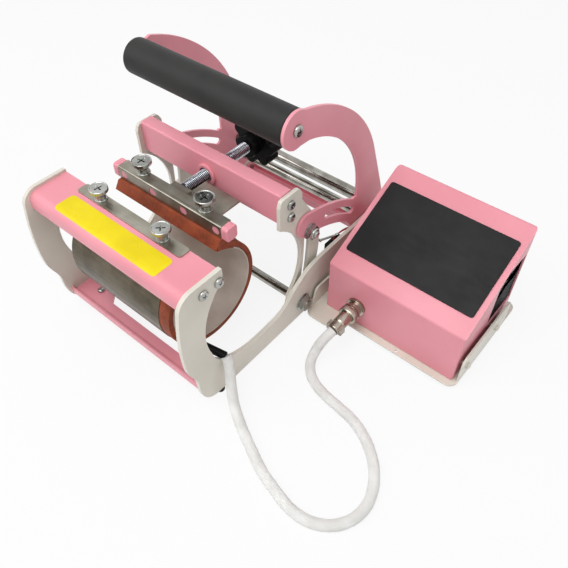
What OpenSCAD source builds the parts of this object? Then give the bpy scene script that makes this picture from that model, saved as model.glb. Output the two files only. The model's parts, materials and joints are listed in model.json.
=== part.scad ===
// Mug heat press: two side frames carry a ring-shaped heater, a pair of swing arms with an
// adjustable clamp, a lever handle that drives the arms, and a control box on its own plate.
// Millimetres, +Z up, standing on Z = 0. The clamp faces -Y, the control box stands at +X.

/* [Press frame] */
// Clear width between the two side frames
frame_gap = 200; // [196:1:204]
// Thickness of the side frame plates
frame_t = 4; // [3:0.5:5]
// Thickness of the swing arm plates
arm_t = 4; // [3:0.5:4]
// Thickness of the handle plates
handle_t = 3; // [2:0.5:3]

/* [Heater] */
// Radius of the mug space inside the heater mat
mug_r = 48; // [46:0.5:48]
// Length of the heater mat across the press
mat_l = 136; // [120:2:140]
// Thickness of the heater mat with its heating foil
mat_t = 7; // [6:0.5:7]

/* [Rods and screws] */
// Diameter of the rod the swing arms turn on
arm_rod_d = 10; // [8:0.5:10]
// Diameter of the rod the handle turns on
handle_rod_d = 12; // [10:0.5:12]
// Diameter of the tie rod between the handle plates
tie_rod_d = 14; // [12:0.5:15]
// Thread diameter of the pressure screw
screw_d = 12; // [10:0.5:12]
// Radial clearance of every running fit
run_fit = 0.05; // [0.02:0.01:0.08]

/* [Lever] */
// Outer diameter of the foam grip
grip_d = 34; // [30:1:36]
// Turn of the arms for one degree of the handle
arm_ratio = 0.7; // [0.68:0.01:0.72]

/* [Control box] */
// Width of the control box
box_w = 153; // [150:1:160]
// Depth of the control box
box_d = 117.5; // [115:0.5:120]
// Height of the low front of the box
box_front_h = 64; // [60:1:66]
// Height of the tall rear of the box
box_rear_h = 122; // [118:1:124]
// Thickness of the sheet metal
sheet_t = 1.5; // [1.2:0.1:2]

/* [Hidden] */
$fn = 64;
eps = 0.01;
half_gap = frame_gap / 2;
frame_out = half_gap + frame_t;

// The object's origin is the middle of its footprint.
left_reach = frame_out + 8.5;
right_reach = half_gap + 19.3 + box_w + 8.7;
front_reach = 141.9;
rear_reach = 178;
press_x = (left_reach - right_reach) / 2;
press_y = (front_reach - rear_reach) / 2;

// Axes that run across the press, as [y, z].
arm_pivot = [19.5, 22];
handle_pivot = [143, 54];
link_pin = [34.75, 110];
tie_axis = [143, 76];
grip_axis = [13.5, 234];
ring_axis = [-70, 86.4];
screw_z = 151;

// Widthways layers from the middle outwards.
arm_in = half_gap - 8.5;
arm_out = arm_in + arm_t;
handle_in = arm_out + 0.4;
handle_out = handle_in + handle_t;
link_pin_d = 7.2;
link_slot_w = 8;
slot_travel = 30;

function arc(c, r, from, to, n = 12) =
    [for (i = [0:n]) c + r * [cos(from + (to - from) * i / n), sin(from + (to - from) * i / n)]];
function bez(a, b, c, d, n = 10) =
    [for (i = [0:n]) let (t = i / n)
        a * pow(1 - t, 3) + 3 * b * t * pow(1 - t, 2) + 3 * c * t * t * (1 - t) + d * pow(t, 3)];
function unit(v) = v / norm(v);
function turned(p, c, a) =
    c + [(p - c).x * cos(a) - (p - c).y * sin(a), (p - c).x * sin(a) + (p - c).y * cos(a)];

// Corners rounded with radius r, or left sharp where r is 0.
function rounded(p, r, n = 5) = [for (i = [0:len(p) - 1])
    let (b = p[i], u = unit(p[(i + len(p) - 1) % len(p)] - b), v = unit(p[(i + 1) % len(p)] - b),
         ri = is_list(r) ? r[i] : r, half = acos(u * v) / 2)
    each ri == 0 ? [b] :
        let (c = b + unit(u + v) * ri / sin(half), s = b + u * ri / tan(half) - c,
             e = b + v * ri / tan(half) - c, a = atan2(s.y, s.x), sweep = atan2(e.y, e.x) - a,
             turn = sweep > 180 ? sweep - 360 : sweep < -180 ? sweep + 360 : sweep)
        arc(c, ri, a, a + turn, n)];

module at_press() translate([press_x, press_y, 0]) children();
// Each [y, z] outline becomes a plate from x to x + t, and the plates are joined.
module across(x, t) for (i = [0:$children - 1])
    translate([x, 0, 0]) rotate([90, 0, 90]) linear_extrude(t) children(i);
module rod_across(x, l, p, d) across(x, l) translate(p) circle(d = d);
// A solid of revolution whose own axis points along +Y from the given point.
module along_y(p) translate(p) rotate([-90, 0, 0]) children();
module mirrored() for (s = [0, 1]) mirror([s, 0, 0]) children();
module round_rect(w, h, r) polygon(rounded([[-w, -h], [w, -h], [w, h], [-w, h]] / 2, r));
module hex(af) circle(d = af / cos(30), $fn = 6);
// Pan head screw across the press: the head sits outside x, the shank points inwards.
module pan_screw(x, p, head_d, shank_d, l) {
    rod_across(x - l, l + eps, p, shank_d);
    translate([x, p.x, p.y]) rotate([0, 90, 0]) rotate_extrude()
        polygon(concat([[0, 0], [head_d / 2, 0]], arc([head_d / 2 - 2, 1], 2, 0, 90, 6), [[0, 3]]));
}
// Hand screw with a wide coned head of radius r, standing on z.
module hand_screw(p, z, r) translate([p.x, p.y, z]) rotate_extrude()
    polygon(concat([[0, -19], [3, -19], [3, 0]],
        r / 8.7 * [[6, 0], [6, 1.4], [4.7, 1.4], [4.7, 5.2], [5.5, 5.7], [8, 9], [8.7, 9.6],
                   [8.7, 12.2], [8.2, 12.8], [0, 12.8]]));

// ---- side frames ----
front_screws = [[-93, 148], [-111, 148]];
rear_channel_screw = [163, 18];
module side_outline() difference() {
    polygon(concat(
        arc([-121, 143], 17, 90, 180, 10),
        bez([-138, 143], [-141.5, 125], [-143.5, 95], [-140.5, 72]),
        bez([-140.5, 72], [-138.5, 58], [-131, 52], [-131, 38]),
        bez([-131, 38], [-131, 18], [-125, 3], [-106, 3]),
        arc([166, 15], 12, -90, 0, 8),
        arc([rear_reach - 25, 41.5], 25, 0, 90, 10),
        bez([56, 66.5], [30, 66.5], [22, 60], [8, 51]),
        bez([8, 51], [-2, 44.5], [-6, 33], [-24, 32]),
        bez([-24, 32], [-50, 30], [-66, 29], [-86, 38.5]),
        bez([-86, 38.5], [-99, 43], [-109, 54], [-110.8, 68.9]),
        arc([-46, 92.5], 69, 200, 128, 14),
        [[-87.5, 154], [-88, 160]]));
    for (p = front_screws) translate(p) circle(d = 5);
    translate(rear_channel_screw) circle(d = 5);
    translate(arm_pivot) circle(d = arm_rod_d);
    translate(handle_pivot) circle(d = handle_rod_d);
}
module right_side_frame() color("whitesmoke") at_press() across(half_gap, frame_t) side_outline();
module left_side_frame() color("whitesmoke") at_press() across(-frame_out, frame_t) side_outline();

// ---- front bar, bent from sheet, with a screwed flange at each end ----
bar_t = 2;
bar_screws = [40.7, -93.4];
module bar_outline() polygon(concat(
    [[-88, 157]], arc([-121.5, 147], 10, 90, 180, 8), [[-131.5, 140], [-131.5 + bar_t, 140]],
    arc([-121.5, 147], 10 - bar_t, 180, 90, 8), [[-88, 157 - bar_t]]));
module flange_outline() difference() {
    polygon(concat([[-88.5, 155]], arc([-121.5, 147], 8, 90, 180, 8), [[-129.5, 142], [-88.5, 142]]));
    for (p = front_screws) translate(p) circle(d = 5);
}
module front_bar() color("pink") at_press() difference() {
    union() {
        across(-half_gap, frame_gap) bar_outline();
        mirrored() across(half_gap - bar_t, bar_t) flange_outline();
    }
    mirrored() translate([bar_screws.x, bar_screws.y, 150]) cylinder(d = 6.4, h = 10);
}

// ---- base channels between the frames ----
channel_z = 16;
lip_t = 1.8;
module front_base_channel() color("pink") at_press() {
    across(-half_gap, frame_gap) polygon([[-125.5, channel_z], [-109, channel_z],
        [-109, channel_z + bar_t], [-125.5 + lip_t, channel_z + bar_t], [-125.5 + lip_t, channel_z + 8],
        [-125.5, channel_z + 8]]);
    translate([0, 0, channel_z]) linear_extrude(bar_t) difference() {
        polygon(rounded([[-half_gap, -109 - eps], [-52, -109 - eps], [-60, -100], [-half_gap, -100]],
            [0, 0, 3, 0]));
        translate([-76, -105.5]) circle(d = 5);
    }
    mirrored() across(half_gap - bar_t, bar_t)
        polygon([[-122, 9], [-106, 9], [-109, channel_z + eps], [-125.5, channel_z + eps]]);
}
module rear_base_channel() color("pink") at_press() {
    across(-half_gap, frame_gap) polygon([[155, 11], [171, 11], [171, 20], [169, 20], [169, 13],
        [157, 13], [157, 20], [155, 20]]);
    mirrored() across(half_gap - bar_t, bar_t) difference() {
        polygon(rounded([[155, 11.5], [171, 11.5], [171, 23.5], [155, 23.5]], [0, 0, 3, 3]));
        translate(rear_channel_screw) circle(d = 5);
    }
}

module frame_screws() color("silver") at_press() mirrored() {
    for (p = front_screws) pan_screw(frame_out, p, 10, 5, frame_t + 5);
    pan_screw(frame_out, rear_channel_screw, 10, 5, frame_t + 5);
}

// ---- feet ----
foot_h = 3;
box_foot_h = 5.5;
module rubber_feet() color("black") {
    at_press() mirrored() for (y = [-105, 158]) translate([half_gap + 1, y, 0])
        cylinder(d = 9, h = foot_h);
    at_press() for (x = [box_x + 14, box_x + box_w - 12], y = [52, 160]) translate([x, y, 0])
        cylinder(d = 14, h = box_foot_h);
}

// ---- rods through the frames, with nuts outside and spacer washers inside ----
module nut_across(x, p, af, h, bore) across(x, h) translate(p) difference() {
    hex(af);
    circle(d = bore);
}
module ring_across(x, t, p, od, id) across(x, t) translate(p) difference() {
    circle(d = od);
    circle(d = id);
}
module arm_pivot_rod() color("silver") at_press()
    rod_across(-frame_out - 8, 2 * (frame_out + 8), arm_pivot, arm_rod_d);
module handle_pivot_rod() color("silver") at_press()
    rod_across(-frame_out - 8.5, 2 * (frame_out + 8.5), handle_pivot, handle_rod_d);
module pivot_nuts() color("silver") at_press() mirrored() {
    ring_across(frame_out, 1.2, arm_pivot, 20, arm_rod_d);
    nut_across(frame_out + 1.2, arm_pivot, 16, 6, arm_rod_d);
    ring_across(arm_out + 0.4, half_gap - arm_out - 0.4, arm_pivot, 18, arm_rod_d);
    ring_across(frame_out, 1.2, handle_pivot, 22, handle_rod_d);
    nut_across(frame_out + 1.2, handle_pivot, 18, 6.5, handle_rod_d);
}

// ---- heater: a ring of silicone with foil inside and a steel band outside ----
// The mat hooks under the front bar; its rear end is a separate tab that moves with the clamp.
foil_r = mug_r + 1.4;
foil_t = 0.5;
ring_from = 128;
ring_to = 405;
module sector(from, to, r = 90) translate(ring_axis) polygon(concat([[0, 0]], arc([0, 0], r, from, to, 16)));
module ring_part(r0, r1, from, to) difference() {
    intersection() {
        translate(ring_axis) circle(r = r1);
        sector(from, to);
    }
    translate(ring_axis) circle(r = r0);
}
module heater_mat() color("sienna") at_press() difference() {
    across(-mat_l / 2, mat_l) {
        ring_part(foil_r + foil_t, mug_r + mat_t, ring_from, ring_to);
        difference() {
            polygon([[-106, 127], [-106, 155], [-88.5, 155], [-88.5, 148], [-99, 148], [-99, 126],
                [-102, 124], [-105, 124]]);
            translate(ring_axis) circle(r = foil_r + foil_t);
        }
    }
    mirrored() translate([bar_screws.x, bar_screws.y, 140]) cylinder(d = 6.4, h = 20);
}
module mat_liner() color("tan") at_press() across(-mat_l / 2, mat_l)
    ring_part(mug_r, foil_r, ring_from, ring_to);
module heating_foil() color("silver") at_press() across(-mat_l / 2 + 4, mat_l - 8)
    ring_part(foil_r, foil_r + foil_t, ring_from + 4, ring_to - 4);
band_t = 0.6;
band_right = mat_l / 2 - 13;
module heater_band() color("lightgrey") at_press() across(-mat_l / 2, mat_l / 2 + band_right)
    ring_part(mug_r + mat_t, mug_r + mat_t + band_t, ring_from + 6, ring_to);
module temperature_sensor() color("silver") at_press()
    rod_across(8, 26, ring_axis + [0, -mug_r - mat_t - band_t - 2.5], 5);

// ---- strip and hand screws that hold the mat's front end ----
module front_clamp_strip() color("lightgrey") at_press() translate([0, -93.6, 157])
    linear_extrude(sheet_t) difference() {
        round_rect(mat_l, 12.6, 3);
        for (s = [-1, 1]) translate([s * bar_screws.x, bar_screws.y + 93.6]) circle(d = 6.4);
    }
module front_clamp_screws() color("silver") at_press() mirrored() {
    hand_screw(bar_screws, 157 + sheet_t, 8.7);
    translate([bar_screws.x, bar_screws.y, 142.5]) linear_extrude(5) difference() {
        hex(9);
        circle(d = 6);
    }
}

// ---- heater lead and its plug ----
cable_d = 10.5;
sleeve_from = [mat_l / 2 + 2, -107, 57];
sleeve_to = [half_gap + 6, -97, 51];
sleeve_run = sleeve_to - sleeve_from;
module lead_sleeve() color("black") at_press() translate(sleeve_from)
    rotate([0, acos(sleeve_run.z / norm(sleeve_run)), atan2(sleeve_run.y, sleeve_run.x)]) {
        cylinder(d = 11, h = 14);
        translate([0, 0, 14 - eps]) cylinder(d = 8, h = norm(sleeve_run) - 14 + eps);
    }
// Cable route: out of the plug, down to the bench, round a loose loop and up to the heater.
cable_route = [[157, 1, 33.5], [156, -5, 31.5], [153.5, -12, 25], [151.5, -20, 14.5], [154, -30, 8],
    [164, -40, 5.4], [181, -47, 5.4], [202, -50, 5.4], [222, -53, 5.4], [240, -60, 5.4], [256, -71, 5.4],
    [268, -84, 5.4], [276, -99, 5.4], [279, -114, 5.4], [276, -130, 5.4], [266, -144, 5.4],
    [250, -153, 5.4], [231, -155, 5.4], [211, -151, 5.4], [190, -145, 5.4], [168, -135, 5.9],
    [147, -125, 9], [131, -116, 17], [121, -108, 28], [113.5, -101.5, 39], [110, -98.5, 46],
    [106, -97, 51]];
function heading(p, i) = unit(p[min(i + 1, len(p) - 1)] - p[max(i - 1, 0)]);
module tube_along(p, d, sides) polyhedron(
    points = [for (i = [0:len(p) - 1])
        let (t = i == 0 ? [0, -1, 0] : i == len(p) - 1 ? -unit(sleeve_run) : heading(p, i),
             u = unit(cross(t, [0, 0, 1])), v = cross(u, t))
        for (j = [0:sides - 1]) p[i] + d / 2 * (u * cos(360 * j / sides) + v * sin(360 * j / sides))],
    faces = concat([[for (j = [0:sides - 1]) j]],
        [for (i = [0:len(p) - 2], j = [0:sides - 1]) let (a = i * sides, k = (j + 1) % sides)
            [a + j, a + sides + j, a + sides + k, a + k]],
        [[for (j = [sides - 1:-1:0]) (len(p) - 1) * sides + j]]));
module heater_cable() color("white") at_press() tube_along(cable_route, cable_d, 10);

socket_p = [half_gap + 57, 33.5];
module cable_plug() color("silver") at_press() along_y([socket_p.x, 1, socket_p.y]) difference() {
    union() {
        rotate_extrude() polygon([[0, 0], [5.4, 0], [6.2, 1], [6.2, 9], [7.2, 10.5], [7.2, 22],
            [6.4, 22], [6.4, 34], [0, 34]]);
        for (s = [-1, 1]) translate([s * 6.2 - 2.6, -3.6, 1.5]) cube([5.2, 7.2, 7]);
    }
    translate([0, 0, 31]) cylinder(d = 8.5, h = 4);
}
module plug_ring() color("silver") at_press() along_y([socket_p.x, 24, socket_p.y]) difference() {
    cylinder(d = 20, h = 10);
    translate([0, 0, -eps]) cylinder(d = 12.8, h = 11);
}
module panel_socket() color("silver") at_press() along_y([socket_p.x, 35.2, socket_p.y]) {
    difference() {
        union() {
            cylinder(d = 16, h = 7.3);
            translate([0, 0, 3.8]) cylinder(d = 21, h = 3.5);
            cylinder(d = 12, h = 20);
            translate([0, 0, 7.3 + sheet_t]) cylinder(d = 17 / cos(30), h = 3, $fn = 6);
        }
        translate([0, 0, -1]) cylinder(d = 9, h = 8);
    }
}

// ---- control box ----
box_x = half_gap + 19.3;
box_y = 42.5;
box_z = 8;
slope_a = atan((box_rear_h - box_front_h) / box_d);
function wedge(t) = let (top = box_z + box_front_h - t / cos(slope_a) + t * tan(slope_a))
    [[box_y + t, box_z - (t > 0 ? 1 : 0)], [box_y + box_d - t, box_z - (t > 0 ? 1 : 0)],
     [box_y + box_d - t, top + (box_d - 2 * t) * tan(slope_a)], [box_y + t, top]];
fan_p = [127, 68];
fan_opening = [[98.5, 36], [150, 36], [150, 100], [113, 103], [98.5, 93]];
inlet_p = [box_x + 42, 46];
rocker_p = [inlet_p.x + 27, inlet_p.y];
vent_n = 6;
module control_box_shell() color("pink") at_press() difference() {
    intersection() {
        across(box_x, box_w) polygon(rounded(wedge(0), [0, 0, 3, 3]));
        translate([box_x, box_y, 0]) linear_extrude(box_rear_h + 20)
            polygon(rounded([[0, 0], [box_w, 0], [box_w, box_d], [0, box_d]], [2, 2, 8, 8]));
    }
    intersection() {
        across(box_x + sheet_t, box_w - 2 * sheet_t) polygon(wedge(sheet_t));
        translate([box_x + sheet_t, box_y + sheet_t, 0]) linear_extrude(box_rear_h + 20)
            polygon(rounded([[0, 0], [box_w - 2 * sheet_t, 0], [box_w - 2 * sheet_t, box_d - 2 * sheet_t],
                [0, box_d - 2 * sheet_t]], [0.5, 0.5, 6.5, 6.5]));
    }
    along_y([socket_p.x, box_y - 5, socket_p.y]) cylinder(d = 12, h = 10);
    across(box_x + box_w - 5, 10) polygon(rounded(fan_opening, 3));
    translate([inlet_p.x - 13.6, box_y + box_d - 5, inlet_p.y - 10]) cube([52, 10, 20]);
    for (i = [0:vent_n - 1]) translate([box_x - 5, 70 + i * 11, 30]) cube([10, 4, 34]);
    for (y = [58, 118]) rod_across(box_x + box_w - 5, 10, [y, 22], 3.5);
    for (y = [58, 118]) rod_across(box_x - 5, 10, [y, 22], 3.5);
}
// Plate under the box: it reaches forward beside the rail and turns up along both sides.
plate_z = box_foot_h;
plate_t = 2;
plate_right = box_x + box_w + 5.7;
module box_base_plate() color("whitesmoke") at_press() {
    translate([0, 0, plate_z]) linear_extrude(plate_t) difference() {
        polygon(rounded([[half_gap + 7, 19], [half_gap + 41, 19], [half_gap + 41, 35],
            [plate_right, 35], [plate_right, 172], [half_gap + 7, 172]], [9, 9, 3, 10, 8, 3]));
        translate([box_x + 92, 38.5]) circle(d = 3);
    }
    across(half_gap + 7, plate_t) polygon(rounded([[30, plate_z], [172, plate_z], [172, 30], [38, 30]],
        [0, 0, 6, 6]));
    across(plate_right - plate_t, plate_t) difference() {
        polygon(rounded([[45, plate_z], [144, plate_z], [144, 42], [45, 42]], [0, 0, 8, 8]));
        for (y = [58, 118]) translate([y, 22]) circle(d = 3.5);
    }
}
module box_screws() color("silver") at_press() for (y = [58, 118])
    pan_screw(plate_right, [y, 22], 7, 3.5, plate_right - box_x - box_w + sheet_t + 3);

// A frame lying on the sloped lid: x across, y up the slope, z out of it.
module on_slope() translate([box_x, box_y, box_z + box_front_h]) rotate([slope_a, 0, 0]) children();
module control_panel() color("#202020") at_press() on_slope() translate([box_w / 2, 64, 0])
    linear_extrude(1.2) round_rect(box_w - 11, 86, 3);
module control_board() color("seagreen") at_press() on_slope() difference() {
    union() {
        translate([16, 26, -12]) cube([110, 74, 1.6]);
        for (i = [0:3]) translate([26 + 30 * i, 36, -20]) cylinder(d = 10, h = 8 + eps);
        translate([40, 60, -18]) cube([22, 16, 6 + eps]);
        translate([90, 56, -25]) cube([16, 20, 13 + eps]);
    }
    for (x = [21, 121], y = [31, 95]) translate([x, y, -13]) cylinder(d = 3.2, h = 4);
}
module power_relay() color("dimgrey") at_press() translate([box_x + 60, 96, plate_z + plate_t]) {
    cube([45, 58, 4]);
    for (i = [0:6]) translate([i * 7.1, 0, 4 - eps]) cube([2, 58, 14]);
}
module transformer() color("goldenrod") at_press() translate([box_x + 14, 98, plate_z + plate_t]) {
    cube([38, 32, 30]);
    translate([4, -6, 8]) cube([30, 44, 16]);
}
// Fan behind a slatted grille in the right side.
grille_t = 2;
fan_x = box_x + box_w - sheet_t - grille_t;
module fan_spokes() for (a = [45:90:315]) rotate(a) translate([9, -1.5]) square([20, 3]);
module fan_housing() color("#303030") at_press() {
    across(fan_x - 15, 15) translate(fan_p) difference() {
        round_rect(60, 60, 5);
        circle(d = 56);
        for (x = [-25, 25], y = [-25, 25]) translate([x, y]) circle(d = 4.3);
    }
    across(fan_x - 17, 2) translate(fan_p) difference() {
        union() {
            fan_spokes();
            circle(d = 22);
            difference() {
                circle(d = 59);
                circle(d = 56);
            }
        }
        circle(d = 3 + 2 * run_fit);
    }
}
module fan_guard() color("#303030") at_press() across(fan_x, grille_t) difference() {
    offset(delta = 1) polygon(fan_opening);
    intersection() {
        offset(delta = -1.5) polygon(fan_opening);
        for (i = [0:12]) translate([90, 38 + i * 5]) square([80, 2.8]);
    }
}
module fan_rotor() color("#404040") at_press() {
    rod_across(fan_x - 18.5, 5, fan_p, 3);
    rod_across(fan_x - 14, 12, fan_p, 26);
    for (i = [0:6]) translate([fan_x - 8, fan_p.x, fan_p.y])
        rotate([i * 360 / 7, 0, 0]) translate([0, 0, 12]) rotate([0, 0, 40])
            translate([-0.8, -6, 0]) cube([1.6, 12, 14.5]);
}
module power_inlet() color("#202020") at_press() {
    difference() {
        union() {
            translate([inlet_p.x - 20, box_y + box_d, inlet_p.y - 12]) cube([65, 3, 24]);
            translate([inlet_p.x - 13.6, box_y + box_d - 18, inlet_p.y - 10]) cube([52, 18 + eps, 20]);
        }
        translate([inlet_p.x - 11, box_y + box_d - 13, inlet_p.y - 7]) cube([22, 20, 14]);
        translate([rocker_p.x - 10, box_y + box_d - 13, rocker_p.y - 7]) cube([20, 20, 14]);
        for (x = [inlet_p.x - 16.5, inlet_p.x + 41.5]) along_y([x, box_y + box_d - 1, inlet_p.y])
            cylinder(d = 3.2, h = 5);
    }
    rod_across(rocker_p.x - 10 - eps, 20 + 2 * eps, rocker_axis, 2);
    for (x = [-5.5, 0, 5.5]) translate([inlet_p.x + x - 0.8, box_y + box_d - 13 - eps,
        inlet_p.y - 2]) cube([1.6, 9, 4]);
}
rocker_axis = [box_y + box_d - 3, rocker_p.y];
module power_rocker() color("red") at_press() translate([0, rocker_axis.x, rocker_axis.y])
    difference() {
        across(rocker_p.x - 9, 18) polygon([[-4, -4.9], [4.6, -4.9], [3.9, 0], [6, 4.9], [-4, 4.9]]);
        rod_across(rocker_p.x - 10, 20, [0, 0], 2 + 2 * run_fit);
    }

// ---- limit switch on the right rail, pressed by the handle plate ----
lever_axis = [90, 61.5];
lever_x = half_gap - 5.5;
lever_w = 3.6;
module limit_switch() color("#181818") at_press() difference() {
    union() {
        across(half_gap - 10, 10) polygon(rounded([[74, 44], [97, 44], [97, 57], [74, 57]], 1));
        across(half_gap - 2, 2) polygon([[86, 56], [92, 56], [92, 63], [86, 63]]);
        rod_across(half_gap - 7.6, 6, lever_axis, 2);
        for (i = [0:2]) across(half_gap - 9, 0.8) translate([76 + 8 * i, 38]) square([3, 6.5]);
    }
    for (y = [78, 93]) rod_across(half_gap - 11, 12, [y, 49], 3);
}
module switch_lever() color("silver") at_press() difference() {
    across(lever_x - lever_w / 2 + 0.7, lever_w - 1) union() {
        translate(lever_axis) circle(d = 4.4);
        translate(lever_axis) rotate(180 - 25) translate([0, -1]) square([34, 1.2]);
        translate(lever_axis) rotate(180 - 25) translate([34.5, -0.4]) circle(d = 3.4);
    }
    rod_across(half_gap - 20, 20, lever_axis, 2 + 2 * run_fit);
}
module switch_leads() color("firebrick") at_press() for (i = [0, 1])
    translate([half_gap - 9.4 + i * 2.4, 0, 0]) rotate([90, 0, 90]) linear_extrude(1.6)
        polygon(concat(arc([82 + 12 * i, 38], 5 + i, 180, 270, 5), [[150, 33 - i], [150, 34.6 - i]],
            arc([82 + 12 * i, 38], 3.4 + i, 270, 180, 5)));

// ---- swing arms and crossbar ----
// The link slot is the path of the link pin as seen from the arm, for the constant ratio.
function slot_point(h) =
    turned(turned(link_pin, handle_pivot, h), arm_pivot, -h * arm_ratio);
function slot_side(w, from, to, n = 14) = [for (i = [0:n])
    let (h = from + (to - from) * i / n, t = unit(slot_point(h + 0.5) - slot_point(h - 0.5)))
    slot_point(h) + w * [-t.y, t.x]];
arm_screws = [[9.5, 157.5], [9.5, 143]];
arm_edge_c = [-37, 81];
module swing_arm(x) difference() {
    across(x, arm_t) {
        polygon(concat(
            rounded([[-5.5, 139], [-5.5, 161], [-3, 168.4], [22, 168.4], [26.5, 161], [26.5, 153],
                [42.5, 127.7]], [0, 3, 4, 5, 5, 4, 0]),
            arc(arm_edge_c, 92.5, 30, -45, 20), arc(arm_edge_c, 62.5, -48, 60, 24)));
        translate(arm_pivot) circle(r = 15);
    }
    across(x - 1, arm_t + 2) {
        translate(arm_pivot) circle(d = 14);
        polygon(concat(slot_side(link_slot_w / 2, 0, slot_travel),
            slot_side(-link_slot_w / 2, slot_travel, 0)));
        translate(slot_point(0)) circle(d = link_slot_w);
        translate(slot_point(slot_travel)) circle(d = link_slot_w);
        translate(arm_screws[0]) circle(d = 5);
        translate(arm_screws[1]) circle(d = 5);
    }
}
module right_swing_arm() color("gainsboro") at_press() swing_arm(arm_in);
module left_swing_arm() color("gainsboro") at_press() swing_arm(-arm_out);
module arm_bushes() color("peru") at_press() mirrored()
    ring_across(arm_in - 1, arm_t + 1, arm_pivot, 14, arm_rod_d + 2 * run_fit);

bar_back = 15;
module crossbar() color("pink") at_press() difference() {
    union() {
        across(-arm_in, 2 * arm_in) translate([bar_back / 2, 153.25]) difference() {
            round_rect(bar_back, 34.5, 2);
            round_rect(bar_back - 2 * sheet_t, 34.5 - 2 * sheet_t, 1);
        }
        mirrored() across(arm_in - 4, 4) translate([bar_back / 2, 153.25]) round_rect(bar_back - 1, 33.5, 2);
    }
    for (p = arm_screws) rod_across(-arm_in - 5, 2 * arm_in + 10, p, 5);
    along_y([0, -5, screw_z]) cylinder(d = 18, h = bar_back + 10);
}
module crossbar_screws() color("silver") at_press() mirrored()
    for (p = arm_screws) pan_screw(arm_out, p, 9.6, 5, arm_t + 4);
module screw_boss() color("pink") at_press() along_y([0, -3, screw_z]) difference() {
    union() {
        cylinder(d = 18, h = bar_back + 7);
        cylinder(d = 22, h = 3);
        translate([0, 0, bar_back + 3]) cylinder(d = 22, h = 4);
    }
    translate([0, 0, -1]) cylinder(d = screw_d + 2 * run_fit, h = bar_back + 10);
    translate([0, 0, -1]) cylinder(d = 15, h = 4);
}

// ---- handle: two C-shaped plates, a foam grip and a tie rod ----
plate_c = [-10.1, 92.4];
throat_c = [3.4, 108.9];
arm_c = [-3.6, -66.2];
function slot_end(a) = arm_c + 189.35 * [cos(a), sin(a)];
module handle_plate(x, lobe_r, lobe_from, lobe_edge) difference() {
    across(x, handle_t) {
        polygon(concat(arc(plate_c, 159.3, lobe_from, 20, 24),
            [[151.6, 116], [159.6, 95], [166.4, 76], [166, 54], [143, 32], [128, 38], [110, 62],
             [96.7, 79], [96, 93], [110, 103]],
            arc(throat_c, 110.7, -4, 76, 24), lobe_edge));
        polygon(concat(arc(arm_c, 176, 79.8, 54, 14), arc(arm_c, 201.7, 54, 79.8, 16)));
        translate(grip_axis) circle(r = lobe_r);
        translate(handle_pivot) circle(r = 24);
        translate(arm_c + 188.85 * [cos(79.8), sin(79.8)]) circle(r = 12.85);
        translate(link_pin) circle(r = 9);
    }
    across(x - 1, handle_t + 2) {
        polygon(concat(arc(arm_c, 185.4, 69.5, 54.5, 14), arc(arm_c, 193.3, 54.5, 69.5, 14)));
        translate(slot_end(69.5)) circle(r = 3.95);
        translate(slot_end(54.5)) circle(r = 3.95);
        translate(handle_pivot) circle(d = 16);
        translate(grip_axis) circle(d = 6);
        translate(link_pin) circle(d = link_pin_d);
    }
}
module right_handle_plate() color("pink") at_press()
    handle_plate(handle_in, 17.5, 78, [[17.5, 217], [9, 216.6]]);
module left_handle_plate() color("pink") at_press()
    handle_plate(-handle_out, 9, 74, [[16, 225], [18, 241]]);
module handle_bushes() color("peru") at_press() mirrored()
    ring_across(handle_in - 3, handle_t + 3.3, handle_pivot, 16, handle_rod_d + 2 * run_fit);
module handle_tie_rod() color("silver") at_press()
    rod_across(-handle_in, 2 * handle_in, tie_axis, tie_rod_d);
module handle_screws() color("silver") at_press() mirrored()
    pan_screw(handle_out, grip_axis, 11, 6, handle_t + 10);
module grip_tube() color("silver") at_press() difference() {
    rod_across(-handle_in, 2 * handle_in, grip_axis, 25);
    rod_across(-handle_in + 12, 2 * handle_in - 24, grip_axis, 21);
    mirrored() rod_across(handle_in - 13, 14, grip_axis, 6);
}
module foam_grip() color("#222222") at_press() difference() {
    rod_across(-handle_in + 1.5, 2 * handle_in - 2, grip_axis, grip_d);
    rod_across(-handle_in, 2 * handle_in, grip_axis, 25);
}
module link_bolts() color("silver") at_press() mirrored() {
    rod_across(arm_in - 0.5, handle_out + 10 - arm_in, link_pin, link_pin_d);
    across(arm_in - 5.5, 5) translate(link_pin) hex(12);
}
module link_nuts() color("silver") at_press() mirrored() {
    ring_across(handle_out, 1.2, link_pin, 17, link_pin_d);
    nut_across(handle_out + 1.2, link_pin, 14, 6.8, link_pin_d);
}

// ---- clamp: a bar in a steel angle that holds the mat's rear tab ----
clamp_y = -52;
clamp_z = 143.4;
clamp_top = 157.5;
clamp_half = mat_l / 2;
clamp_screw = [41.2, -42.8];
clamp_slots = [-61.2, -20.5, 20.5, 61.2];
module slot_studs(w, h, y, t) for (x = clamp_slots) along_y([x, y, 150.2]) hull()
    for (s = [-1, 1]) translate([s * (w - h) / 2, 0, 0]) cylinder(d = h, h = t);
module clamp_bar() color("pink") at_press() difference() {
    union() {
        across(-clamp_half, 2 * clamp_half)
            polygon([[clamp_y + sheet_t, clamp_z], [clamp_y + 12.5, clamp_z],
                [clamp_y + 12.5, clamp_top - sheet_t], [clamp_y + sheet_t, clamp_top - sheet_t]]);
        slot_studs(8.9, 7.5, clamp_y + 0.3, sheet_t);
    }
    mirrored() translate([clamp_screw.x, clamp_screw.y, clamp_z - 1]) cylinder(d = 6, h = 20);
}
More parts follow.
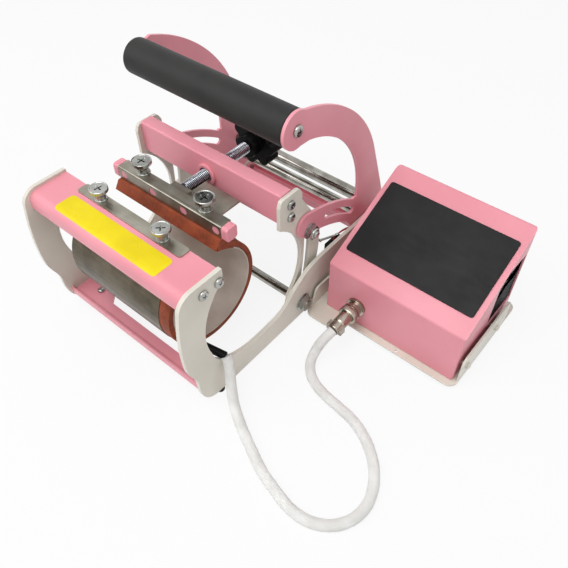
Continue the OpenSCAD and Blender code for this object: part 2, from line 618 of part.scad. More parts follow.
module clamp_plate() color("lightgrey") at_press() difference() {
    across(-clamp_half, 2 * clamp_half) polygon(rounded([[clamp_y, clamp_z], [clamp_y + sheet_t, clamp_z],
        [clamp_y + sheet_t, clamp_top - sheet_t], [clamp_y + 13, clamp_top - sheet_t],
        [clamp_y + 13, clamp_top], [clamp_y, clamp_top]], [0, 0, 0, 0, 0, 1.5]));
    mirrored() translate([clamp_screw.x, clamp_screw.y, clamp_top - 4]) cylinder(d = 6.4, h = 8);
    slot_studs(9.1, 7.7, clamp_y - 1, sheet_t + 1.5);
}
module clamp_end_caps() color("pink") at_press() mirrored() across(clamp_half, 7.5)
    polygon(rounded([[clamp_y - 0.5, clamp_z - 0.4], [clamp_y + 13, clamp_z - 0.4],
        [clamp_y + 13, clamp_top + 0.4], [clamp_y - 0.5, clamp_top + 0.4]], 3.5));
module clamp_screws() color("silver") at_press() mirrored()
    hand_screw([clamp_screw.x, clamp_screw.y], clamp_top, 9.7);
module mat_tab() color("sienna") at_press() difference() {
    across(-mat_l / 2, mat_l) {
        ring_part(mug_r, mug_r + mat_t, 50, 76);
        polygon(concat([[clamp_y - 3, clamp_z], [-60.6, 135]], arc(ring_axis, mug_r + 3, 78, 55, 6),
            [[clamp_y + 12, clamp_z]]));
    }
    mirrored() translate([clamp_screw.x, clamp_screw.y, 130]) cylinder(d = 6, h = 20);
}
block_back = clamp_y + 12.5 + 8.5;
module thrust_block() color("gainsboro") at_press() difference() {
    union() {
        along_y([0, clamp_y + 12.5, screw_z]) translate([-11, -4.6, 0]) cube([22, 11.6, 8.5]);
        translate([7, clamp_y + 12.5, screw_z - 1]) cube([45, 29, 2]);
    }
    along_y([0, clamp_y + 12, screw_z]) cylinder(d = 9 + 2 * run_fit, h = 10);
    along_y([0, block_back, screw_z]) cylinder(d = screw_d + 4, h = 30);
}

// ---- pressure screw and its knob ----
screw_tip = clamp_y + 13;
knob_y = 54;
module pressure_screw() color("silver") at_press() along_y([0, screw_tip, screw_z]) {
    cylinder(d = 9, h = block_back - screw_tip + 1);
    translate([0, 0, block_back - screw_tip + 0.4]) cylinder(d = screw_d, h = knob_y + 22 - block_back);
}
knob_lobes = 7;
module star_knob() color("#181818") at_press() along_y([0, knob_y, screw_z]) difference() {
    union() {
        cylinder(d = 24, h = 12);
        translate([0, 0, 11]) linear_extrude(18) {
            circle(d = 40);
            for (i = [1:knob_lobes]) rotate(i * 360 / knob_lobes) translate([20, 0]) circle(d = 13);
        }
        translate([0, 0, 29 - eps]) cylinder(d = 22, h = 3);
    }
    translate([0, 0, -1]) cylinder(d = screw_d, h = 22 + 1.4);
}

left_side_frame();
right_side_frame();
front_bar();
front_base_channel();
rear_base_channel();
frame_screws();
rubber_feet();
arm_pivot_rod();
pivot_nuts();
handle_pivot_rod();
front_clamp_strip();
front_clamp_screws();
heater_mat();
mat_liner();
heating_foil();
heater_band();
temperature_sensor();
lead_sleeve();
heater_cable();
cable_plug();
plug_ring();
panel_socket();
box_base_plate();
control_box_shell();
control_panel();
control_board();
power_relay();
transformer();
fan_housing();
fan_rotor();
fan_guard();
power_inlet();
power_rocker();
box_screws();
limit_switch();
switch_lever();
switch_leads();
left_swing_arm();
right_swing_arm();
crossbar();
crossbar_screws();
screw_boss();
arm_bushes();
left_handle_plate();
right_handle_plate();
handle_tie_rod();
handle_screws();
grip_tube();
foam_grip();
link_bolts();
link_nuts();
handle_bushes();
clamp_bar();
clamp_plate();
clamp_end_caps();
clamp_screws();
mat_tab();
thrust_block();
pressure_screw();
star_knob();
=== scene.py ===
"""Mug heat press, built up around its packed metalwork in the order it is put together."""

import json
import math

import bmesh
import bpy
from mathutils import Matrix, Vector

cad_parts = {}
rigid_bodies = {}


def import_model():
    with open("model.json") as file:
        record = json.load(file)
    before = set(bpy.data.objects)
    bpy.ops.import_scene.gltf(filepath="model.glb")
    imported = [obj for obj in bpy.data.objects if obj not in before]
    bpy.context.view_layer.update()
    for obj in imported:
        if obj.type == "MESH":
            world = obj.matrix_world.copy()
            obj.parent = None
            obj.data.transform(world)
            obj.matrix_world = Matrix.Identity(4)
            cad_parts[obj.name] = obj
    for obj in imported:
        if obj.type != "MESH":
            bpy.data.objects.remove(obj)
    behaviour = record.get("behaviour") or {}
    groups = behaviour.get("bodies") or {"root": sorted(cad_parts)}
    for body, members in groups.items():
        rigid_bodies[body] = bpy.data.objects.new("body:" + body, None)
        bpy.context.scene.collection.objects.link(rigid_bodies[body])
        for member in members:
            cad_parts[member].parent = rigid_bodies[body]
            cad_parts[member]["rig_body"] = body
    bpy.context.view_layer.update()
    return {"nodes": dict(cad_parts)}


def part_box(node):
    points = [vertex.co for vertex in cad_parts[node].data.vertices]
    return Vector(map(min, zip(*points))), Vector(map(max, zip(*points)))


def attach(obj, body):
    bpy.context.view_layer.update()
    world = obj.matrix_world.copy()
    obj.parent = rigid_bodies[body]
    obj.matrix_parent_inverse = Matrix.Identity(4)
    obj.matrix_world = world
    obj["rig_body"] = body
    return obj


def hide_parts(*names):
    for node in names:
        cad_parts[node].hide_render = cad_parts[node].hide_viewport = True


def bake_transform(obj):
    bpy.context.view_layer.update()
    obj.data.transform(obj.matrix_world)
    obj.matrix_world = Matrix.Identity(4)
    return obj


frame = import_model()

# ---- where the press stands ----
# The press is measured from the middle between its side frames, the front face of its
# crossbar and the bench. Every place below is in metres from there.
middle_x = (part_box("left_side_frame")[0].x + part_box("right_side_frame")[1].x) / 2
crossbar_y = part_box("crossbar")[0].y


def at(x, y, z):
    """A place in the file's frame, from one in the press's own."""
    return Vector((middle_x + x, crossbar_y + y, z))


# ---- camera ----
# A phone held a little above the right front corner, looking down at the press.
azimuth, elevation, roll = math.radians(40.19), math.radians(48.11), math.radians(-0.44)
ahead = Vector((-math.sin(azimuth) * math.cos(elevation),
                math.cos(azimuth) * math.cos(elevation), -math.sin(elevation)))
level = ahead.cross(Vector((0, 0, 1))).normalized()
upright = level.cross(ahead)
across = math.cos(roll) * level + math.sin(roll) * upright
upwards = -math.sin(roll) * level + math.cos(roll) * upright
camera = bpy.data.objects.new("camera", bpy.data.cameras.new("camera"))
camera.data.lens = 38.33
camera.data.clip_start = 0.01
camera.matrix_world = Matrix((across, upwards, -ahead)).transposed().to_4x4()
camera.location = at(0.3567, -0.3097, 0.5117)
bpy.context.scene.collection.objects.link(camera)
bpy.context.scene.camera = camera


# ---- heater lead and its plug ----
# Two heater wires and two sensor wires in one soft glass-fibre sleeve. It drops out of the
# nickel plug onto the bench, makes one loose loop and climbs to the heater's right end.
def blend_nodes(name):
    """A new node material, its tree and its shader."""
    finish = bpy.data.materials.new(f"{name}_finish")
    finish.use_nodes = True
    return finish, finish.node_tree, finish.node_tree.nodes["Principled BSDF"]


def add(tree, kind, **settings):
    """A node of that kind. Settings are its properties, or its inputs by number as in_0,
    each a value or another node's output."""
    node = tree.nodes.new(kind)
    for name, value in settings.items():
        if not name.startswith("in_"):
            setattr(node, name, value)
        elif isinstance(value, bpy.types.NodeSocket):
            tree.links.new(value, node.inputs[int(name[3:])])
        else:
            node.inputs[int(name[3:])].default_value = value
    return node


def noise(tree, scale, detail, stretch=(1, 1, 1)):
    """Fractal noise fixed to the piece, stretched along its grain."""
    here = add(tree, "ShaderNodeTexCoord")
    grain = add(tree, "ShaderNodeMapping", in_0=here.outputs["Object"])
    grain.inputs["Scale"].default_value = stretch
    cloud = add(tree, "ShaderNodeTexNoise", in_0=grain.outputs[0])
    cloud.inputs["Scale"].default_value = scale
    cloud.inputs["Detail"].default_value = detail
    return cloud.outputs["Fac"]


def tint(tree, amount, dark, light):
    """A colour that runs from dark to light with the amount."""
    ramp = add(tree, "ShaderNodeValToRGB", in_0=amount)
    for stop, position, colour in zip(ramp.color_ramp.elements, (0.35, 0.65), (dark, light)):
        stop.position = position
        stop.color = (*colour, 1)
    return ramp.outputs[0]


def mixed(tree, amount, first, second):
    """Two colours mixed by the amount; a plain colour may stand for either."""
    first, second = ((*colour, 1) if isinstance(colour, tuple) else colour
                     for colour in (first, second))
    mix = add(tree, "ShaderNodeMix", data_type="RGBA", in_0=amount, in_6=first, in_7=second)
    return mix.outputs[2]


def spread(tree, amount, low, high, start=0.3, end=0.7):
    """A number that runs from low to high as the amount goes from start to end."""
    run = add(tree, "ShaderNodeMapRange", in_0=amount, in_1=start, in_2=end, in_3=low, in_4=high)
    return run.outputs[0]


def relief(tree, shader, *heights):
    """Bumps on top of each other, each a height between 0 and 1 and its depth in metres."""
    below = None
    for height, depth in heights:
        bump = add(tree, "ShaderNodeBump")
        bump.inputs["Strength"].default_value = 1
        bump.inputs["Distance"].default_value = depth
        tree.links.new(height, bump.inputs["Height"])
        if below:
            tree.links.new(below, bump.inputs["Normal"])
        below = bump.outputs[0]
    tree.links.new(below, shader.inputs["Normal"])


def edge_highlight_mask(tree, width):
    """1 along sharp outer edges, 0 on the faces, a little broken up; it places a painted highlight
    along those edges.
    """
    rounded = add(tree, "ShaderNodeBevel", samples=4)
    rounded.inputs["Radius"].default_value = width
    flat = add(tree, "ShaderNodeNewGeometry")
    turn = add(tree, "ShaderNodeVectorMath", operation="DOT_PRODUCT", in_0=rounded.outputs[0],
               in_1=flat.outputs["Normal"])
    lit_edge = spread(tree, turn.outputs["Value"], 1, 0, 0.86, 0.99)
    broken = add(tree, "ShaderNodeMath", operation="MULTIPLY", in_0=lit_edge,
                 in_1=spread(tree, noise(tree, 160, 4), 0.35, 1))
    return broken.outputs[0]


def braid_finish():
    """White glass yarn, braided on the slant, with painted shade, a little grey, in the gaps
    between the yarns.
    """
    finish, tree, shader = blend_nodes("glass_sleeve")
    here = add(tree, "ShaderNodeTexCoord")
    yarns = []
    for lean in (-1, 1):
        turn = add(tree, "ShaderNodeMapping", in_0=here.outputs["UV"])
        turn.inputs["Rotation"].default_value = (0, 0, lean * math.radians(38))
        wave = add(tree, "ShaderNodeTexWave", wave_profile="SIN", in_0=turn.outputs[0])
        wave.inputs["Scale"].default_value = 3.4
        wave.inputs["Distortion"].default_value = 0.6
        yarns.append(wave.outputs["Fac"])
    weave = add(tree, "ShaderNodeMath", operation="MAXIMUM", in_0=yarns[0], in_1=yarns[1])
    yarn_colour = tint(tree, noise(tree, 70, 4), (0.84, 0.83, 0.80), (0.95, 0.95, 0.93))
    # The colour goes grey where the weave runs low, between the yarns: painted shade.
    tree.links.new(mixed(tree, spread(tree, weave.outputs[0], 0.2, 0, 0, 0.9), yarn_colour,
                         (0.66, 0.65, 0.61)), shader.inputs["Base Color"])
    tree.links.new(spread(tree, weave.outputs[0], 0.8, 0.55), shader.inputs["Roughness"])
    relief(tree, shader, (weave.outputs[0], 0.00016), (noise(tree, 260, 2), 0.0002))
    shader.inputs["Sheen Weight"].default_value = 0.3
    return finish


def smooth_path(points, steps=8):
    """A Catmull-Rom curve through the points."""
    ends = [2 * points[0] - points[1], *points, 2 * points[-1] - points[-2]]
    path = []
    for a, b, c, d in zip(ends, ends[1:], ends[2:], ends[3:]):
        for i in range(steps):
            t = i / steps
            path.append(0.5 * (2 * b + (c - a) * t + (2 * a - 5 * b + 4 * c - d) * t * t
                               + (3 * b - a - 3 * c + d) * t ** 3))
    return [*path, points[-1]]


def meshed(shape, name):
    """The edited shape as a mesh; the editing copy goes."""
    mesh = bpy.data.meshes.new(name)
    shape.to_mesh(mesh)
    shape.free()
    return mesh


def placed(name, data):
    """An object of that mesh or light in the scene."""
    thing = bpy.data.objects.new(name, data)
    bpy.context.scene.collection.objects.link(thing)
    return thing


def hose(name, path, radius, sides, creases=0.0):
    """A closed tube along the path, with its own lengthways and round-about map."""
    shape = bmesh.new()
    chart = shape.loops.layers.uv.new("along")
    normal = (path[1] - path[0]).orthogonal().normalized()
    rings, run, runs = [], 0.0, []
    for i, point in enumerate(path):
        tangent = (path[min(i + 1, len(path) - 1)] - path[max(i - 1, 0)]).normalized()
        normal = (normal - tangent * normal.dot(tangent)).normalized()
        side = tangent.cross(normal)
        run += (point - path[i - 1]).length if i else 0
        runs.append(run)
        rings.append([])
        for j in range(sides):
            a = 2 * math.pi * j / sides
            crease = math.sin(run * 620 + 2.3 * math.sin(a * 2 + i * 0.4))
            slack = 1 - creases * (0.5 + 0.5 * crease)
            outward = math.cos(a) * normal + math.sin(a) * side
            rings[-1].append(shape.verts.new(point + radius * slack * outward))
    girth = 2 * math.pi * radius
    for i in range(len(rings) - 1):
        for j in range(sides):
            k = (j + 1) % sides
            face = shape.faces.new((rings[i][j], rings[i][k], rings[i + 1][k], rings[i + 1][j]))
            face.smooth = True
            places = ((j, i), (j + 1, i), (j + 1, i + 1), (j, i + 1))
            for loop, (u, v) in zip(face.loops, places):
                loop[chart].uv = (6 * u / sides, 6 * runs[v] / girth)
    shape.faces.new(rings[0][::-1])
    shape.faces.new(rings[-1])
    return placed(name, meshed(shape, name))


lead_d = 0.0105
lead_points = [at(*point) for point in (
    (0.157, 0.001, 0.0335), (0.156, -0.005, 0.0315), (0.1535, -0.012, 0.025),
    (0.1515, -0.020, 0.0145), (0.154, -0.030, 0.008), (0.164, -0.040, 0.0054),
    (0.181, -0.047, 0.0054), (0.202, -0.050, 0.0054), (0.222, -0.053, 0.0054),
    (0.240, -0.060, 0.0054), (0.256, -0.071, 0.0054), (0.268, -0.084, 0.0054),
    (0.276, -0.099, 0.0054), (0.279, -0.114, 0.0054), (0.276, -0.130, 0.0054),
    (0.266, -0.144, 0.0054), (0.250, -0.153, 0.0054), (0.231, -0.155, 0.0054),
    (0.211, -0.151, 0.0054), (0.190, -0.145, 0.0054), (0.168, -0.135, 0.0059),
    (0.147, -0.125, 0.009), (0.131, -0.116, 0.017), (0.121, -0.108, 0.028),
    (0.1135, -0.1015, 0.039), (0.110, -0.0985, 0.046), (0.106, -0.097, 0.051))]
lead_path = smooth_path(lead_points, 14)
lead = hose("sleeved_lead", lead_path, lead_d / 2, 24, 0.05)
lead.data.materials.append(braid_finish())
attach(lead, "frame")
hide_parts("heater_cable")


def metal(name, dark, light, rough=(0.2, 0.35), grain=(1, 1, 1), scratch=0.000006, scale=220):
    """Bare or plated metal: fine tool marks along the grain, cloudy dull patches, and a painted
    highlight, the light colour, along sharp edges.
    """
    finish, tree, shader = blend_nodes(name)
    shader.inputs["Metallic"].default_value = 1
    marks = noise(tree, scale, 4, grain)
    cloud = noise(tree, 45, 3)
    plain = mixed(tree, spread(tree, marks, 0, 0.35), tint(tree, cloud, dark, light), dark)
    # Sharp edges take the light colour: a painted highlight.
    tree.links.new(mixed(tree, edge_highlight_mask(tree, 0.0004), plain, light), shader.inputs["Base Color"])
    tree.links.new(spread(tree, marks, *rough), shader.inputs["Roughness"])
    relief(tree, shader, (marks, scratch))
    return finish


def eased_copy(node, name, finish, edge, segments=2):
    """A copy of the metalwork's own shape with its facets joined and its edges eased."""
    mesh = frame["nodes"][node].data.copy()
    mesh.name = name
    mesh.materials.clear()
    mesh.materials.append(finish)
    shape = bmesh.new()
    shape.from_mesh(mesh)
    bmesh.ops.remove_doubles(shape, verts=shape.verts, dist=2e-6)
    bmesh.ops.dissolve_limit(shape, angle_limit=math.radians(0.5), verts=shape.verts,
                             edges=shape.edges, delimit={"NORMAL"})
    for face in shape.faces:
        face.smooth = True
    shape.to_mesh(mesh)
    shape.free()
    piece = placed(name, mesh)
    bevel = piece.modifiers.new("eased edges", "BEVEL")
    bevel.width = edge
    bevel.segments = segments
    bevel.limit_method = "ANGLE"
    bevel.angle_limit = math.radians(30)
    bevel.use_clamp_overlap = True
    bevel.miter_outer = "MITER_ARC"
    shade = piece.modifiers.new("even shading", "WEIGHTED_NORMAL")
    shade.keep_sharp = False
    return piece


def rounded_copy(node, name, finish, edge, segments=2):
    """An eased copy of a node that stands for it and moves with its body."""
    piece = eased_copy(node, name, finish, edge, segments)
    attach(piece, frame["nodes"][node]["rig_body"])
    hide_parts(node)
    return piece


def turned(rings, sides, hollow=False):
    """A mesh turned about z. A ring is a (radius, height), or gives one for an angle."""
    shape = bmesh.new()
    rows = []
    for ring in rings:
        rows.append([])
        for i in range(sides):
            a = 2 * math.pi * i / sides
            radius, height = ring(a) if callable(ring) else ring
            rows[-1].append(shape.verts.new((radius * math.cos(a), radius * math.sin(a), height)))
    pairs = list(zip(rows, rows[1:]))
    if hollow:
        pairs.append((rows[-1], rows[0]))
    else:
        shape.faces.new(rows[0][::-1])
        shape.faces.new(rows[-1])
    for low, high in pairs:
        for i in range(sides):
            k = (i + 1) % sides
            shape.faces.new((low[i], low[k], high[k], high[i]))
    bmesh.ops.recalc_face_normals(shape, faces=shape.faces)
    return meshed(shape, "turned")


def stood(mesh, place, facing):
    """The mesh moved so that its z axis starts at place and points along facing."""
    turn = Vector(facing).to_track_quat("Z", "Y").to_matrix().to_4x4()
    copy = mesh.copy()
    copy.transform(Matrix.Translation(place) @ turn)
    return copy


def assembled(name, meshes, finish, body, nodes, crease=32):
    """One piece out of several meshes, shaded smooth up to the crease angle."""
    shape = bmesh.new()
    for mesh in meshes:
        shape.from_mesh(mesh)
    for face in shape.faces:
        face.smooth = True
        face.material_index = 0
    data = meshed(shape, name)
    data.materials.clear()
    data.materials.append(finish)
    data.set_sharp_from_angle(angle=math.radians(crease))
    piece = placed(name, data)
    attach(piece, body)
    for node in nodes:
        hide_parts(node)
    return piece


nickel = metal("nickel", (0.25, 0.22, 0.175), (0.52, 0.47, 0.40), (0.12, 0.26), (4, 0.3, 4),
               0.00001, 130)
plug = rounded_copy("cable_plug", "round_plug", nickel, 0.0003)
plug_x, plug_z, ring_y0, plug_d, ring_d, ring_w = 0.157, 0.0335, 0.024, 0.0128, 0.020, 0.010


def ridged(radius, height):
    """A ring that is knurled: its radius goes in and out around it."""
    return lambda a: (radius - 0.0004 * (0.5 + 0.5 * math.cos(40 * a)), height)


coupling = turned([(plug_d / 2, 0.0004), (ring_d / 2 - 0.0008, 0), ridged(ring_d / 2, 0.0009),
                   ridged(ring_d / 2, 0.0062), (ring_d / 2 - 0.0009, 0.0064),
                   (ring_d / 2 - 0.0009, 0.0076), (ring_d / 2, 0.0078),
                   (ring_d / 2, ring_w - 0.0006), (ring_d / 2 - 0.0006, ring_w),
                   (plug_d / 2, ring_w)], 160, True)
ring = assembled("coupling_ring", [stood(coupling, at(plug_x, ring_y0, plug_z), (0, 1, 0))],
                 nickel, "frame", ["plug_ring"])
rounded_copy("panel_socket", "round_socket", nickel, 0.0003)


# ---- side frames ----
# Two plates cut from 4 mm steel, edges broken, coated in off-white powder. Everything else
# is bolted between them.
def powder_coat(name, dark, light, edge):
    """Baked powder paint: faint orange peel, duller patches, specks, and a painted highlight in
    the edge colour along sharp edges.
    """
    finish, tree, shader = blend_nodes(name)
    patch = noise(tree, 14, 5)
    here = add(tree, "ShaderNodeTexCoord")
    specks = add(tree, "ShaderNodeTexVoronoi", feature="F1", in_0=here.outputs["Object"])
    specks.inputs["Scale"].default_value = 95
    plain = tint(tree, patch, dark, light)
    marked = mixed(tree, spread(tree, specks.outputs["Distance"], 0.25, 0, 0.02, 0.10), plain,
                   tuple(0.55 * part for part in dark))
    # Sharp edges take the edge colour: a painted highlight.
    tree.links.new(mixed(tree, edge_highlight_mask(tree, 0.0009), marked, edge), shader.inputs["Base Color"])
    tree.links.new(spread(tree, noise(tree, 22, 5), 0.30, 0.46), shader.inputs["Roughness"])
    relief(tree, shader, (noise(tree, 700, 2), 0.00002), (noise(tree, 30, 2), 0.00004))
    shader.inputs["Specular IOR Level"].default_value = 0.35
    shader.inputs["Coat Weight"].default_value = 0.06
    shader.inputs["Coat Roughness"].default_value = 0.2
    return finish


# The last colour given to each coat is its painted edge highlight.
white_paint = powder_coat("white_paint", (0.68, 0.645, 0.56), (0.76, 0.73, 0.645),
                          (0.92, 0.91, 0.87))
for side in ("left", "right"):
    rounded_copy(f"{side}_side_frame", f"{side}_frame_plate", white_paint, 0.0007)

# ---- front bar and base channels ----
# Bent 2 mm sheet in pink powder coat, each end folded into a flange that takes two screws.
# Its last colour is its painted edge highlight.
pink_paint = powder_coat("pink_paint", (0.78, 0.29, 0.345), (0.84, 0.33, 0.39), (0.95, 0.55, 0.60))
rounded_copy("front_bar", "front_bar_sheet", pink_paint, 0.0006)
rounded_copy("front_base_channel", "front_channel_sheet", pink_paint, 0.0004)
rounded_copy("rear_base_channel", "rear_channel_sheet", pink_paint, 0.0004)

# ---- label on the front bar ----
# A plain yellow vinyl label, stuck on by hand and wrapped a little way down the bend.
label_l, label_w, label_t, label_edge, corner = 0.1330, 0.0225, 0.00015, -0.1047, 0.004
bar_top, bend_y, bend_r = 0.157, -0.1215, 0.010
flat = label_edge - bend_y


def vinyl_finish():
    """Yellow vinyl, a little faded in patches."""
    finish, tree, shader = blend_nodes("yellow_label")
    faded = tint(tree, noise(tree, 35, 4), (0.76, 0.60, 0.008), (0.84, 0.68, 0.012))
    tree.links.new(faded, shader.inputs["Base Color"])
    tree.links.new(spread(tree, noise(tree, 90, 4), 0.25, 0.42), shader.inputs["Roughness"])
    relief(tree, shader, (noise(tree, 120, 3), 0.00004))
    shader.inputs["Specular IOR Level"].default_value = 0.2
    return finish


def on_bar(x, run, rise):
    """A point of the label: run is how far it is behind its rear edge, along the sheet."""
    if run <= flat:
        return at(x, label_edge - run, bar_top + rise)
    a = (run - flat) / bend_r
    reach = bend_r + rise
    return at(x, bend_y - reach * math.sin(a), bar_top - bend_r + reach * math.cos(a))


label = bmesh.new()
edge_points = []
for sx, sy, start in ((1, 0, 0), (-1, 0, 90), (-1, 1, 180), (1, 1, 270)):
    for i in range(7):
        a = math.radians(start + 15 * i)
        centre = (sx * (label_l / 2 - corner), corner if sy == 0 else label_w - corner)
        edge_points.append((centre[0] + corner * math.cos(a), centre[1] - corner * math.sin(a)))
label.faces.new([label.verts.new((x, run, 0)) for x, run in edge_points])
for i in range(13):
    everything = [*label.verts, *label.edges, *label.faces]
    bmesh.ops.bisect_plane(label, geom=everything, plane_co=(0, flat + 0.0005 * i, 0),
                           plane_no=(0, 1, 0))
sheet = bmesh.ops.extrude_face_region(label, geom=list(label.faces))["geom"]
for vert in sheet:
    if isinstance(vert, bmesh.types.BMVert):
        vert.co.z = label_t
for vert in label.verts:
    vert.co = on_bar(vert.co.x, vert.co.y, vert.co.z)
bmesh.ops.recalc_face_normals(label, faces=label.faces)
bmesh.ops.reverse_faces(label, faces=label.faces)
assembled("bar_label", [meshed(label, "bar_label")], vinyl_finish(), "frame", [], 20)


# ---- frame screws, rods and nuts ----
# Zinc-plated pan heads with a cross recess pull the bars to the frames. Two bright ground
# rods go right through, held by washers and chamfered hexagon nuts.
def settled(holder):
    """The mesh that an object's modifiers give; the object itself goes."""
    bpy.context.view_layer.update()
    mesh = bpy.data.meshes.new_from_object(
        holder.evaluated_get(bpy.context.evaluated_depsgraph_get()))
    bpy.data.objects.remove(holder)
    return mesh


def cross_recess(mesh, top, reach, depth):
    """The mesh with a tapered cross driven into its top face."""
    half = reach * 0.17
    plus = [(reach, -half), (reach, half), (half, half), (half, reach), (-half, reach),
            (-half, half), (-reach, half), (-reach, -half), (-half, -half), (-half, -reach),
            (half, -reach), (half, -half)]
    shape = bmesh.new()
    upper = [shape.verts.new((x * 1.1, y * 1.1, top + 0.0003)) for x, y in plus]
    lower = [shape.verts.new((x * 0.5, y * 0.5, top - depth)) for x, y in plus]
    shape.faces.new(upper)
    shape.faces.new(lower[::-1])
    for i in range(12):
        k = (i + 1) % 12
        shape.faces.new((upper[k], upper[i], lower[i], lower[k]))
    bmesh.ops.recalc_face_normals(shape, faces=shape.faces)
    punch = placed("punch", meshed(shape, "punch"))
    blank = placed("blank", mesh)
    cut = blank.modifiers.new("recess", "BOOLEAN")
    cut.object = punch
    cut.solver = "EXACT"
    driven = settled(blank)
    bpy.data.objects.remove(punch)
    return driven


def pan_head(head_d, shank_d, length):
    """A pan head screw; its head stands on z = 0."""
    r = head_d / 2
    dome = [(r - 0.002 * (1 - math.cos(a)), 0.001 + 0.002 * math.sin(a))
            for a in (math.radians(15 * i) for i in range(7))]
    blank = turned([(shank_d / 2, -length), (shank_d / 2, 0), (r - 0.0003, 0), (r, 0.0003), *dome,
                    (r * 0.3, 0.0031)], 40)
    return cross_recess(blank, 0.0031, head_d * 0.27, 0.0018)


def hex_rings(flats, height):
    """The rings of a hexagon with chamfered corners, from its foot to its top."""
    def hexed(z, lean):
        def ring(a):
            corner_r = flats / 2 / math.cos((a + math.pi / 6) % (math.pi / 3) - math.pi / 6)
            return corner_r, z + lean * 0.58 * max(0, corner_r - flats / 2 * 1.02)
        return ring
    return [(flats / 2 * 0.98, 0), hexed(0.0001, 1), hexed(height - 0.0001, -1),
            (flats / 2 * 0.98, height)]


def hex_nut(flats, height, bore, collar=0.0):
    """A nut, with the collar of its nylon ring if asked for; it stands on z = 0."""
    rings = [(bore / 2, 0), *hex_rings(flats, height)]
    if collar:
        rings += [(flats / 2 * 0.82, height + 0.0002),
                  (flats / 2 * 0.80, height + collar - 0.0006),
                  (flats / 2 * 0.72, height + collar)]
    return turned([*rings, (bore / 2 + 0.0003, height + collar)], 72, True)


def washer(outer, inner, thick):
    """A washer that lies on z = 0."""
    return turned([(inner / 2, 0), (outer / 2 - 0.0002, 0), (outer / 2, 0.0002),
                   (outer / 2, thick - 0.0002), (outer / 2 - 0.0002, thick), (inner / 2, thick)],
                  48, True)


def growing_tree(name, **inputs):
    """A Geometry Nodes tree with a geometry in and out, more inputs, and their node."""
    tree = bpy.data.node_groups.new(name, "GeometryNodeTree")
    tree.interface.new_socket("Geometry", in_out="OUTPUT", socket_type="NodeSocketGeometry")
    for socket, kind in (("Geometry", "Geometry"), *inputs.items()):
        tree.interface.new_socket(socket, in_out="INPUT", socket_type=f"NodeSocket{kind}")
    return tree, add(tree, "NodeGroupInput")


def set_out_tree():
    """Copies of one part on the points, each facing its own way and turned at random."""
    tree, given = growing_tree("set out", Part="Object", Seed="Int", Finish="Material")
    part = add(tree, "GeometryNodeObjectInfo")
    facing = add(tree, "GeometryNodeInputNamedAttribute", data_type="FLOAT_VECTOR")
    facing.inputs["Name"].default_value = "facing"
    aim = add(tree, "FunctionNodeAlignRotationToVector", axis="Z")
    chance = add(tree, "FunctionNodeRandomValue")
    chance.inputs[3].default_value = math.tau
    twist = add(tree, "FunctionNodeAxisAngleToRotation")
    turn = add(tree, "FunctionNodeRotateRotation", rotation_space="LOCAL")
    spots = add(tree, "GeometryNodeInstanceOnPoints")
    real = add(tree, "GeometryNodeRealizeInstances")
    coat = add(tree, "GeometryNodeSetMaterial")
    out = add(tree, "NodeGroupOutput")
    for start, end in ((given.outputs["Geometry"], spots.inputs["Points"]),
                       (given.outputs["Part"], part.inputs["Object"]),
                       (part.outputs["Geometry"], spots.inputs["Instance"]),
                       (facing.outputs[0], aim.inputs["Vector"]),
                       (given.outputs["Seed"], chance.inputs["Seed"]),
                       (chance.outputs[1], twist.inputs["Angle"]),
                       (aim.outputs[0], turn.inputs[0]), (twist.outputs[0], turn.inputs[1]),
                       (turn.outputs[0], spots.inputs["Rotation"]),
                       (spots.outputs[0], real.inputs[0]), (real.outputs[0], coat.inputs[0]),
                       (given.outputs["Finish"], coat.inputs["Material"]),
                       (coat.outputs[0], out.inputs[0])):
        tree.links.new(start, end)
    return tree


def grown(tree, points, facings=None, **inputs):
    """The mesh that a Geometry Nodes tree grows on the points with these inputs."""
    mesh = bpy.data.meshes.new(tree.name)
    mesh.from_pydata(points, [], [])
    if facings:
        ways = mesh.attributes.new("facing", "FLOAT_VECTOR", "POINT")
        for i, way in enumerate(facings):
            ways.data[i].vector = way
    holder = placed(tree.name, mesh)
    grower = holder.modifiers.new(tree.name, "NODES")
    grower.node_group = tree
    for socket in tree.interface.items_tree:
        if socket.in_out == "INPUT" and socket.name in inputs:
            grower[socket.identifier] = inputs[socket.name]
    return settled(holder)


set_out = set_out_tree()


def spread_out(part_mesh, spots, finish, seed):
    """The part on each spot, which is a place and the way that it faces."""
    part = bpy.data.objects.new("part", part_mesh)
    mesh = grown(set_out, [place for place, way in spots], [way for place, way in spots],
                 Part=part, Seed=seed, Finish=finish)
    bpy.data.objects.remove(part)
    return mesh


def both_sides(x, *places):
    """Spots on both sides of the press, facing outwards, each a (y, z)."""
    return [(at(side * x, y, z), (side, 0, 0)) for side in (-1, 1) for y, z in places]


plated_steel = metal("plated_steel", (0.28, 0.28, 0.26), (0.52, 0.53, 0.51), (0.16, 0.32))
bright_rod = metal("bright_rod", (0.20, 0.19, 0.165), (0.52, 0.51, 0.47), (0.1, 0.26),
                   (0.06, 3, 3), 0.000006, 120)
frame_out, washer_t = 0.104, 0.0012
assembled("frame_pan_screws", [spread_out(
    pan_head(0.010, 0.005, 0.009),
    both_sides(frame_out, (-0.093, 0.148), (-0.111, 0.148), (0.163, 0.018)), plated_steel, 4)],
    plated_steel, "frame", ["frame_screws"])
channel_screw = spread_out(pan_head(0.0075, 0.0042, 0.006),
                           [(at(-0.076, -0.1055, 0.018), (0, 0, 1))], plated_steel, 8)
assembled("channel_screw", [channel_screw], plated_steel, "frame", [])

